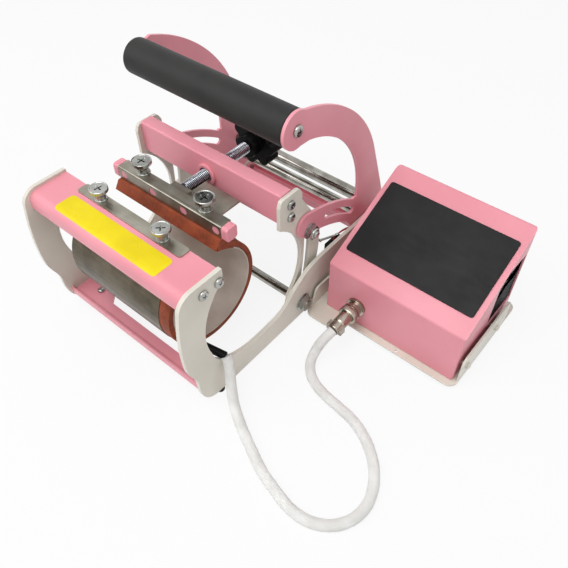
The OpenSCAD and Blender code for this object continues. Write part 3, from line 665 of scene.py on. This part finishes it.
# Each rod's y and z, its diameter, its washer's, and its nut's width and height.
pivots = ((0.0195, 0.022, 0.010, 0.020, 0.016, 0.006),
          (0.143, 0.054, 0.012, 0.022, 0.018, 0.0065))
pivot_parts = []
for y, z, rod_d, washer_d, flats, nut_h in pivots:
    spots = both_sides(frame_out, (y, z))
    outer = [(place + washer_t * Vector(way), way) for place, way in spots]
    pivot_parts += [spread_out(washer(washer_d, rod_d, washer_t), spots, plated_steel, 1),
                    spread_out(hex_nut(flats, nut_h, rod_d), outer, plated_steel, int(z * 1000))]
spacer = washer(0.018, 0.010, 0.0041)
pivot_parts.append(spread_out(spacer, both_sides(0.0959, (0.0195, 0.022)), plated_steel, 1))
assembled("pivot_hex_nuts", pivot_parts, plated_steel, "frame", ["pivot_nuts"])
for node in ("arm_pivot_rod", "handle_pivot_rod"):
    rounded_copy(node, f"{node}_turned", bright_rod, 0.0008)


# ---- feet ----
# Small moulded rubber pads under the frames and the box plate.
def plastic(name, dark, light, rough, grain=900, depth=0.00002, gloss=0.3, pores=0.0):
    """Moulded plastic, rubber or foam: a fine even texture, and open pores if it has any."""
    finish, tree, shader = blend_nodes(name)
    cloud = noise(tree, 40, 4)
    texture = noise(tree, grain, 3)
    tree.links.new(tint(tree, cloud, dark, light), shader.inputs["Base Color"])
    tree.links.new(spread(tree, cloud, *rough), shader.inputs["Roughness"])
    heights = [(texture, depth)]
    if pores:
        here = add(tree, "ShaderNodeTexCoord")
        cells = add(tree, "ShaderNodeTexVoronoi", feature="SMOOTH_F1", in_0=here.outputs["Object"])
        cells.inputs["Scale"].default_value = 1500
        heights.append((cells.outputs["Distance"], pores))
    relief(tree, shader, *heights)
    shader.inputs["Specular IOR Level"].default_value = gloss
    return finish


black_rubber = plastic("black_rubber", (0.012, 0.012, 0.012), (0.022, 0.022, 0.022), (0.6, 0.8))
rounded_copy("rubber_feet", "moulded_feet", black_rubber, 0.0006)


# ---- heater ----
# Red-brown silicone rubber over foil and a woven liner, rolled into a ring. Its front end is
# hooked under the bar, its rear end goes up into the clamp, and a stainless band backs it.
def silicone_finish():
    """Calendered silicone rubber: a fine cloth print, dusty bloom and darker rubbed spots."""
    finish, tree, shader = blend_nodes("silicone")
    here = add(tree, "ShaderNodeTexCoord")
    waves = []
    for axis in ("X", "DIAGONAL"):
        wave = add(tree, "ShaderNodeTexWave", bands_direction=axis, in_0=here.outputs["Object"])
        wave.inputs["Scale"].default_value = 420
        wave.inputs["Distortion"].default_value = 1.5
        waves.append(wave.outputs["Fac"])
    weave = add(tree, "ShaderNodeMath", operation="MULTIPLY", in_0=waves[0], in_1=waves[1])
    red = tint(tree, noise(tree, 60, 5), (0.185, 0.036, 0.013), (0.31, 0.062, 0.022))
    bloom = mixed(tree, spread(tree, noise(tree, 300, 4), 0, 0.3, 0.45, 0.75), red,
                  (0.37, 0.12, 0.06))
    tree.links.new(bloom, shader.inputs["Base Color"])
    tree.links.new(spread(tree, noise(tree, 80, 3), 0.5, 0.72), shader.inputs["Roughness"])
    relief(tree, shader, (weave.outputs[0], 0.00006), (noise(tree, 500, 3), 0.00008))
    shader.inputs["Specular IOR Level"].default_value = 0.3
    return finish


def liner_finish():
    """Woven glass cloth with a taupe silicone skin, a plain weave with a 0.6 mm thread."""
    finish, tree, shader = blend_nodes("liner_cloth")
    here = add(tree, "ShaderNodeTexCoord")
    checks = add(tree, "ShaderNodeTexChecker", in_0=here.outputs["Object"])
    checks.inputs["Scale"].default_value = 1600
    taupe = tint(tree, noise(tree, 25, 5), (0.50, 0.42, 0.36), (0.68, 0.61, 0.54))
    tree.links.new(taupe, shader.inputs["Base Color"])
    tree.links.new(spread(tree, noise(tree, 60, 3), 0.5, 0.75), shader.inputs["Roughness"])
    relief(tree, shader, (checks.outputs["Fac"], 0.00002), (noise(tree, 40, 3), 0.0003))
    shader.inputs["Specular IOR Level"].default_value = 0.35
    return finish


ring_y, ring_z = -0.070, 0.0864
mat_half, inner_r, foil_r, foil_t, outer_r = 0.068, 0.048, 0.0494, 0.0005, 0.055


def arc(radius, start, end):
    """Points of the ring in the side view, from one angle in degrees to another."""
    steps = 93
    turns = (math.radians(start + (end - start) * i / steps) for i in range(steps + 1))
    return [(ring_y + radius * math.cos(a), ring_z + radius * math.sin(a)) for a in turns]


def rolled(name, outer, inner, x0, x1, finish, node, edge, lip=()):
    """A sheet rolled between two arcs, with a lip in front."""
    shape = bmesh.new()
    front = [[shape.verts.new(at(x0, y, z)) for y, z in side] for side in (outer, inner, lip)]
    for i in range(len(outer) - 1):
        shape.faces.new((front[0][i], front[0][i + 1], front[1][i + 1], front[1][i]))
    if lip:
        shape.faces.new((front[0][0], front[1][0], *front[2]))
    swept = bmesh.ops.extrude_face_region(shape, geom=list(shape.faces))["geom"]
    bmesh.ops.translate(shape, vec=(x1 - x0, 0, 0),
                        verts=[item for item in swept if isinstance(item, bmesh.types.BMVert)])
    bmesh.ops.recalc_face_normals(shape, faces=shape.faces)
    for item in shape.faces:
        item.smooth = True
    holder = placed(name, meshed(shape, name))
    bevel = holder.modifiers.new("soft edges", "BEVEL")
    bevel.width = edge
    bevel.segments = 3
    bevel.limit_method = "ANGLE"
    bevel.angle_limit = math.radians(40)
    holder.modifiers.new("even shading", "WEIGHTED_NORMAL")
    data = settled(holder)
    data.materials.append(finish)
    piece = placed(name, data)
    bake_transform(piece)
    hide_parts(node)
    return piece


silicone = silicone_finish()
liner_cloth = liner_finish()
stainless = metal("stainless", (0.27, 0.25, 0.205), (0.44, 0.42, 0.36), (0.26, 0.44), (0.05, 4, 4),
                  0.000008, 160)
# The band gets its own much darker copy of the stainless: painted shade on the band.
band_steel = metal("band_steel", (0.085, 0.070, 0.046), (0.175, 0.148, 0.108), (0.24, 0.42),
                   (0.05, 4, 4), 0.000008, 160)
foil_metal = metal("foil", (0.6, 0.6, 0.6), (0.8, 0.8, 0.8))
lip = [(-0.099, 0.146), (-0.0983, 0.1475), (-0.097, 0.148), (-0.0885, 0.148), (-0.0885, 0.155),
       (-0.104, 0.155), (-0.1055, 0.1545), (-0.106, 0.153)]
rolled("silicone_ring", arc(outer_r, 130.9, 410), arc(foil_r + foil_t, 125.5, 410),
       -mat_half, mat_half, silicone, "heater_mat", 0.0007, lip)
rolled("liner_ring", arc(foil_r, 128, 410), arc(inner_r, 128, 410), -mat_half, mat_half,
       liner_cloth, "mat_liner", 0.0004)
rolled("foil_ring", arc(foil_r + foil_t, 132, 401), arc(foil_r, 132, 401), -mat_half + 0.004,
       mat_half - 0.004, foil_metal, "heating_foil", 0.0001)
rolled("steel_band", arc(outer_r + 0.0006, 134, 405), arc(outer_r, 134, 405), -mat_half,
       mat_half - 0.013, band_steel, "heater_band", 0.0001)
rounded_copy("temperature_sensor", "sensor_barrel", stainless, 0.0004)

# ---- strip and hand screws over the mat's front end ----
# A stainless strip and two wide hand screws pull the hooked end up against the bar; each
# screw goes into a nut below.
rounded_copy("front_clamp_strip", "front_strip_steel", stainless, 0.0004)


def hand_screw(head_d, shank_d, length):
    """A disc with a raised rim over a cone and a neck; it stands on z = 0.
    It is drawn with a head of 17.4 mm and scaled from there."""
    k = head_d / 0.0174
    head = [(0.0058, 0), (0.0060, 0.0002), (0.0060, 0.0012), (0.0058, 0.0014), (0.0047, 0.0015),
            (0.0047, 0.0052), (0.0055, 0.0057), (0.0080, 0.0090), (0.0085, 0.0093),
            (0.0087, 0.0097), (0.0087, 0.0121), (0.0085, 0.0126), (0.0081, 0.0128),
            (0.0077, 0.0127), (0.0073, 0.0124), (0.0040, 0.0124)]
    blank = turned([(shank_d / 2, -length), (shank_d / 2, 0),
                    *((k * radius, k * height) for radius, height in head)], 64)
    return cross_recess(blank, 0.0124 * k, 0.0040 * k, 0.003)


bar_screw_spots = [(at(side * 0.0407, -0.0934, 0.1585), (0, 0, 1)) for side in (-1, 1)]
bar_nut_spots = [(at(side * 0.0407, -0.0934, 0.1425), (0, 0, 1)) for side in (-1, 1)]
assembled("front_hand_screws", [
    spread_out(hand_screw(0.0174, 0.006, 0.019), bar_screw_spots, plated_steel, 8),
    spread_out(hex_nut(0.009, 0.005, 0.006), bar_nut_spots, plated_steel, 2)],
    plated_steel, "frame", ["front_clamp_screws"])
black_plastic = plastic("black_plastic", (0.003, 0.003, 0.003), (0.006, 0.006, 0.006),
                        (0.30, 0.42), 700, 0.00002, 0.08)
rounded_copy("lead_sleeve", "shrink_sleeve", black_plastic, 0.0008)

# ---- control box ----
# A wedge of pink folded sheet on a white plate, with a black film panel on its slope, a fan
# behind a slatted grille on its right and the mains inlet with its rocker at the back.
rounded_copy("box_base_plate", "base_sheet", white_paint, 0.0004)
rounded_copy("control_box_shell", "box_sheet", pink_paint, 0.0008, segments=3)


def panel_finish():
    """Black screen-printed film: dark smoke, faintly mottled, with fine wiping scratches."""
    finish, tree, shader = blend_nodes("panel_plastic")
    smoke = tint(tree, noise(tree, 24, 5), (0.0085, 0.0085, 0.009), (0.0165, 0.0165, 0.017))
    tree.links.new(smoke, shader.inputs["Base Color"])
    tree.links.new(spread(tree, noise(tree, 50, 4, (1, 4, 1)), 0.36, 0.5),
                   shader.inputs["Roughness"])
    relief(tree, shader, (noise(tree, 1500, 2), 0.00001))
    shader.inputs["Specular IOR Level"].default_value = 0.15
    return finish


rounded_copy("control_panel", "panel_film", panel_finish(), 0.0003)
board = plastic("board", (0.02, 0.12, 0.05), (0.03, 0.16, 0.07), (0.4, 0.5))
heatsink = metal("heatsink", (0.3, 0.3, 0.3), (0.4, 0.4, 0.4))
core_steel = metal("core_steel", (0.3, 0.28, 0.25), (0.4, 0.38, 0.33))
rounded_copy("control_board", "circuit_board", board, 0.0002)
rounded_copy("power_relay", "relay_on_heatsink", heatsink, 0.0002)
rounded_copy("transformer", "small_transformer", core_steel, 0.0004)
for node, name in (("fan_housing", "fan_frame"), ("fan_guard", "slatted_grille"),
                   ("fan_rotor", "fan_blades"), ("power_inlet", "inlet_shell")):
    rounded_copy(node, name, black_plastic, 0.0004)
red_plastic = plastic("red_plastic", (0.35, 0.01, 0.01), (0.45, 0.015, 0.015), (0.25, 0.35))
rounded_copy("power_rocker", "rocker_cap", red_plastic, 0.0005)
# The side screws take the white paint so that they vanish into the glare on the white flange: a
# painted highlight.
rounded_copy("box_screws", "box_side_screws", white_paint, 0.0002)

# ---- limit switch ----
# A micro switch on the right frame, with a thin steel lever under the handle plate. Two red
# wires leave it over the top and others run back along the frame.
rounded_copy("limit_switch", "micro_switch", black_plastic, 0.0003)
rounded_copy("switch_lever", "micro_switch_lever", plated_steel, 0.0002)
red_wire = plastic("red_wire", (0.45, 0.02, 0.02), (0.55, 0.03, 0.03), (0.3, 0.4))
rounded_copy("switch_leads", "switch_wires", red_wire, 0.0003)
for i in range(2):
    jumper = hose(f"jumper_wire_{i + 1}", smooth_path([at(x, y + 0.003 * i, z) for x, y, z in (
        (0.0925, 0.0827, 0.054), (0.093, 0.088, 0.0585), (0.0935, 0.095, 0.0600),
        (0.094, 0.104, 0.0585), (0.0945, 0.110, 0.056), (0.095, 0.114, 0.0545))]), 0.0008, 12)
    jumper.data.materials.append(red_wire)
    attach(jumper, "frame")

# ---- swing arms and crossbar ----
# White plate arms with a curved slot for the link bolts, and a pink box-section crossbar
# screwed between them. A round boss in the crossbar carries the pressure screw.
for side in ("left", "right"):
    rounded_copy(f"{side}_swing_arm", f"{side}_arm_plate", white_paint, 0.0006)
rounded_copy("crossbar", "crossbar_box", pink_paint, 0.0008, segments=3)
rounded_copy("screw_boss", "crossbar_boss", pink_paint, 0.0008)
assembled("crossbar_pan_screws", [spread_out(
    pan_head(0.0096, 0.005, 0.008), both_sides(0.0955, (0.0095, 0.1575), (0.0095, 0.143)),
    plated_steel, 3)], plated_steel, "arms", ["crossbar_screws"])
bronze = metal("bronze", (0.45, 0.25, 0.1), (0.55, 0.32, 0.14))
rounded_copy("arm_bushes", "arm_bush_rings", bronze, 0.0003)
rounded_copy("handle_bushes", "handle_bush_rings", bronze, 0.0003)

# ---- handle ----
# Two pink lever plates joined by a welded rod below and a steel tube in a black foam sleeve
# at the top. Link bolts through the plates ride in the arms' slots.
for side in ("left", "right"):
    rounded_copy(f"{side}_handle_plate", f"{side}_lever_plate", pink_paint, 0.0007)
rounded_copy("handle_tie_rod", "lever_tie_rod", bright_rod, 0.0005)
handle_out, link_y, link_z = 0.0989, 0.03475, 0.110
assembled("lever_pan_screws", [spread_out(
    pan_head(0.011, 0.006, 0.013), both_sides(handle_out, (0.0135, 0.234)), plated_steel, 6)],
    plated_steel, "handle", ["handle_screws"])
rounded_copy("grip_tube", "grip_core", bright_rod, 0.0004)
foam = plastic("foam", (0.011, 0.011, 0.011), (0.020, 0.020, 0.019), (0.48, 0.6), 1300, 0.00008,
               0.28, 0.00006)
grip = rounded_copy("foam_grip", "foam_sleeve", foam, 0.0016, segments=4)


def thread_tree():
    """A rod along z with a cut thread: a ridge that winds round it, chamfered at both ends."""
    tree, given = growing_tree("cut thread", Length="Float", Radius="Float", Pitch="Float",
                               Depth="Float", Rows="Int", Sides="Int", Finish="Material")

    def maths(operation, first, second=0.0):
        node = add(tree, "ShaderNodeMath", operation=operation, in_0=first, in_1=second)
        return node.outputs[0]

    sheet = add(tree, "GeometryNodeMeshGrid", in_0=1, in_1=1,
                in_2=maths("ADD", given.outputs["Sides"], 1), in_3=given.outputs["Rows"])
    place = add(tree, "GeometryNodeInputPosition")
    parts = add(tree, "ShaderNodeSeparateXYZ", in_0=place.outputs[0])
    turn = maths("ADD", parts.outputs[0], 0.5)
    height = maths("MULTIPLY", maths("ADD", parts.outputs[1], 0.5), given.outputs["Length"])
    phase = maths("SUBTRACT", maths("DIVIDE", height, given.outputs["Pitch"]), turn)
    tooth = maths("MULTIPLY", maths("PINGPONG", phase, 0.5), 2)
    cut = maths("MULTIPLY", spread(tree, tooth, 0, 1, 0.12, 0.88), given.outputs["Depth"])
    from_end = maths("MINIMUM", height, maths("SUBTRACT", given.outputs["Length"], height))
    root = maths("SUBTRACT", given.outputs["Radius"], given.outputs["Depth"])
    radius = maths("MINIMUM", maths("SUBTRACT", given.outputs["Radius"], cut),
                   maths("ADD", root, from_end))
    angle = maths("MULTIPLY", turn, math.tau)
    spot = add(tree, "ShaderNodeCombineXYZ", in_2=height,
               in_0=maths("MULTIPLY", radius, maths("COSINE", angle)),
               in_1=maths("MULTIPLY", radius, maths("SINE", angle)))
    wound = add(tree, "GeometryNodeSetPosition")
    tree.links.new(sheet.outputs["Mesh"], wound.inputs["Geometry"])
    tree.links.new(spot.outputs[0], wound.inputs["Position"])
    joint = add(tree, "GeometryNodeJoinGeometry")
    tree.links.new(wound.outputs[0], joint.inputs[0])
    for end in range(2):
        cap = add(tree, "GeometryNodeMeshCircle", fill_type="NGON")
        tree.links.new(given.outputs["Sides"], cap.inputs["Vertices"])
        tree.links.new(root, cap.inputs["Radius"])
        raised = add(tree, "GeometryNodeTransform")
        tree.links.new(cap.outputs[0], raised.inputs["Geometry"])
        if end:
            lift = add(tree, "ShaderNodeCombineXYZ", in_2=given.outputs["Length"])
            tree.links.new(lift.outputs[0], raised.inputs["Translation"])
            tree.links.new(raised.outputs[0], joint.inputs[0])
        else:
            turned_over = add(tree, "GeometryNodeFlipFaces", in_0=raised.outputs[0])
            tree.links.new(turned_over.outputs[0], joint.inputs[0])
    closed = add(tree, "GeometryNodeMergeByDistance", in_0=joint.outputs[0])
    closed.inputs["Distance"].default_value = 0.000002
    real = add(tree, "GeometryNodeRealizeInstances", in_0=closed.outputs[0])
    coat = add(tree, "GeometryNodeSetMaterial", in_0=real.outputs[0])
    tree.links.new(given.outputs["Finish"], coat.inputs["Material"])
    add(tree, "NodeGroupOutput", in_0=coat.outputs[0])
    return tree


cut_thread = thread_tree()


def threaded(length, diameter, pitch, finish, sides=36):
    """A threaded rod of that length and diameter, standing on z = 0."""
    return grown(cut_thread, [], Length=length, Radius=diameter / 2, Pitch=pitch,
                 Depth=0.6 * pitch, Rows=int(length / pitch * 6) + 1, Sides=sides, Finish=finish)


link_d, bolt_head_x = 0.0072, 0.086
bolt_end = threaded(0.0233, link_d, 0.0010, plated_steel, 28)
bolt_head = turned([(0.001, 0), *hex_rings(0.012, 0.005), (0.001, 0.005)], 72)
assembled("link_hex_bolts", [
    spread_out(bolt_end, both_sides(0.0855, (link_y, link_z)), plated_steel, 2),
    spread_out(bolt_head, both_sides(bolt_head_x, (link_y, link_z)), plated_steel, 5)],
    plated_steel, "handle", ["link_bolts"])
assembled("link_hex_nuts", [
    spread_out(washer(0.017, link_d, washer_t), both_sides(handle_out, (link_y, link_z)),
               plated_steel, 1),
    spread_out(hex_nut(0.014, 0.0052, link_d, 0.0016),
               both_sides(handle_out + washer_t, (link_y, link_z)), plated_steel, 9)],
    plated_steel, "handle", ["link_nuts"])

# ---- clamp ----
# A pink bar in a stainless angle holds the mat's rear end under two hand screws. Pink end
# caps close it, and a saddle behind takes the tip of the pressure screw.
rounded_copy("clamp_bar", "clamp_backing_bar", pink_paint, 0.0003)
rounded_copy("clamp_plate", "clamp_angle", stainless, 0.0003)
rounded_copy("clamp_end_caps", "clamp_caps", pink_paint, 0.0010, segments=3)
clamp_screw_spots = [(at(side * 0.0412, -0.0428, 0.1575), (0, 0, 1)) for side in (-1, 1)]
assembled("clamp_hand_screws", [spread_out(hand_screw(0.0194, 0.006, 0.019), clamp_screw_spots,
                                           plated_steel, 5)],
          plated_steel, "clamp", ["clamp_screws"])
silicone_tab = placed("silicone_tab",
                      settled(eased_copy("mat_tab", "tab_shape", silicone, 0.0008)))
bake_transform(silicone_tab)
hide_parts("mat_tab")
rounded_copy("thrust_block", "thrust_saddle", stainless, 0.0005)


# ---- pressure screw ----
# M12 rod with a turned tip, and a moulded seven-lobed knob pressed on its rear end.
tip_y, shoulder_y, knob_y, screw_z, screw_d = -0.039, -0.0306, 0.054, 0.151, 0.012


def thread_finish():
    """Zinc on a thread: painted shade, near black, in the roots, and the crests a bright bluish
    zinc.
    """
    finish, tree, shader = blend_nodes("zinc_thread")
    shader.inputs["Metallic"].default_value = 1
    here = add(tree, "ShaderNodeTexCoord")
    off_axis = add(tree, "ShaderNodeVectorMath", operation="MULTIPLY_ADD",
                   in_0=here.outputs["Object"], in_1=(1, 0, 1), in_2=(-middle_x, 0, -screw_z))
    radius = add(tree, "ShaderNodeVectorMath", operation="LENGTH", in_0=off_axis.outputs[0])
    crest = spread(tree, radius.outputs["Value"], 0.0, 1.0, 0.0054, 0.0058)
    patch = tint(tree, noise(tree, 60, 4), (0.55, 0.58, 0.64), (0.82, 0.86, 0.92))
    # Below the crests the colour goes near black: painted shade in the roots of the thread.
    tree.links.new(mixed(tree, crest, (0.012, 0.013, 0.015), patch), shader.inputs["Base Color"])
    tree.links.new(spread(tree, noise(tree, 220, 4), 0.2, 0.36), shader.inputs["Roughness"])
    return finish


zinc_thread = thread_finish()
tip_l = shoulder_y - tip_y + 0.001
screw_tip = turned([(0.001, 0), (0.0038, 0), (0.0045, 0.0007), (0.0045, tip_l), (0.001, tip_l)],
                   40)
assembled("threaded_rod", [
    stood(screw_tip, at(0, tip_y, screw_z), (0, 1, 0)),
    stood(threaded(knob_y + 0.020 - shoulder_y, screw_d, 0.00175, zinc_thread),
          at(0, shoulder_y, screw_z), (0, 1, 0))],
    zinc_thread, "screw", ["pressure_screw"])
rounded_copy("star_knob", "moulded_knob", black_plastic, 0.0024, segments=4)

# ---- light and floor ----
# A pale room: a broad lamp high over the front, a weaker one from the left front and a weak
# one on the right. The room and the floor look white to the camera and in reflections.
def seen_rays(tree):
    """1 for the rays of the camera, of reflections and of glass, 0 for the others."""
    rays = add(tree, "ShaderNodeLightPath")
    seen = add(tree, "ShaderNodeMath", operation="MAXIMUM", in_0=rays.outputs["Is Camera Ray"],
               in_1=rays.outputs["Is Glossy Ray"])
    through = add(tree, "ShaderNodeMath", operation="MAXIMUM", in_0=seen.outputs[0],
                  in_1=rays.outputs["Is Transmission Ray"])
    return through.outputs[0]


world = bpy.data.worlds.new("room")
world.use_nodes = True
bpy.context.scene.world = world
sky = world.node_tree
glow = sky.nodes["Background"]
glow.inputs["Color"].default_value = (1, 1, 1, 1)
sky.links.new(spread(sky, seen_rays(sky), 0.43, 1, 0, 1), glow.inputs["Strength"])


def lamp(name, place, aim, size, power):
    """A square lamp at a place, aimed at another; its size in metres, its power in watts."""
    light = bpy.data.lights.new(name, "AREA")
    light.size = size
    light.energy = power
    stand = placed(name, light)
    stand.location = place
    stand.rotation_euler = (aim - place).to_track_quat("-Z", "Y").to_euler()


lamp("key_lamp", at(0.05, -0.7, 1.7), at(0.05, 0, 0.1), 1.3, 20)
lamp("side_lamp", at(-1.0, -0.9, 1.0), at(0, 0, 0.15), 0.9, 5)
lamp("fill_lamp", at(1.3, 0.2, 1.2), at(0.1, 0, 0.1), 1.2, 3)

floor_mesh = bpy.data.meshes.new("floor")
floor_mesh.from_pydata([(-4, -4, 0), (4, -4, 0), (4, 4, 0), (-4, 4, 0)], [], [(0, 1, 2, 3)])
floor = placed("floor", floor_mesh)
pale, tree, shader = blend_nodes("pale_floor")
shader.inputs["Base Color"].default_value = (0.8, 0.8, 0.8, 1)
shader.inputs["Roughness"].default_value = 0.9
bright = add(tree, "ShaderNodeEmission")
bright.inputs["Strength"].default_value = 1
share = add(tree, "ShaderNodeMath", operation="MULTIPLY", in_0=seen_rays(tree), in_1=0.87)
surface = add(tree, "ShaderNodeMixShader", in_0=share.outputs[0], in_1=shader.outputs[0],
              in_2=bright.outputs[0])
tree.links.new(surface.outputs[0], tree.nodes["Material Output"].inputs[0])
floor_mesh.materials.append(pale)

bpy.context.scene.view_settings.view_transform = "Standard"
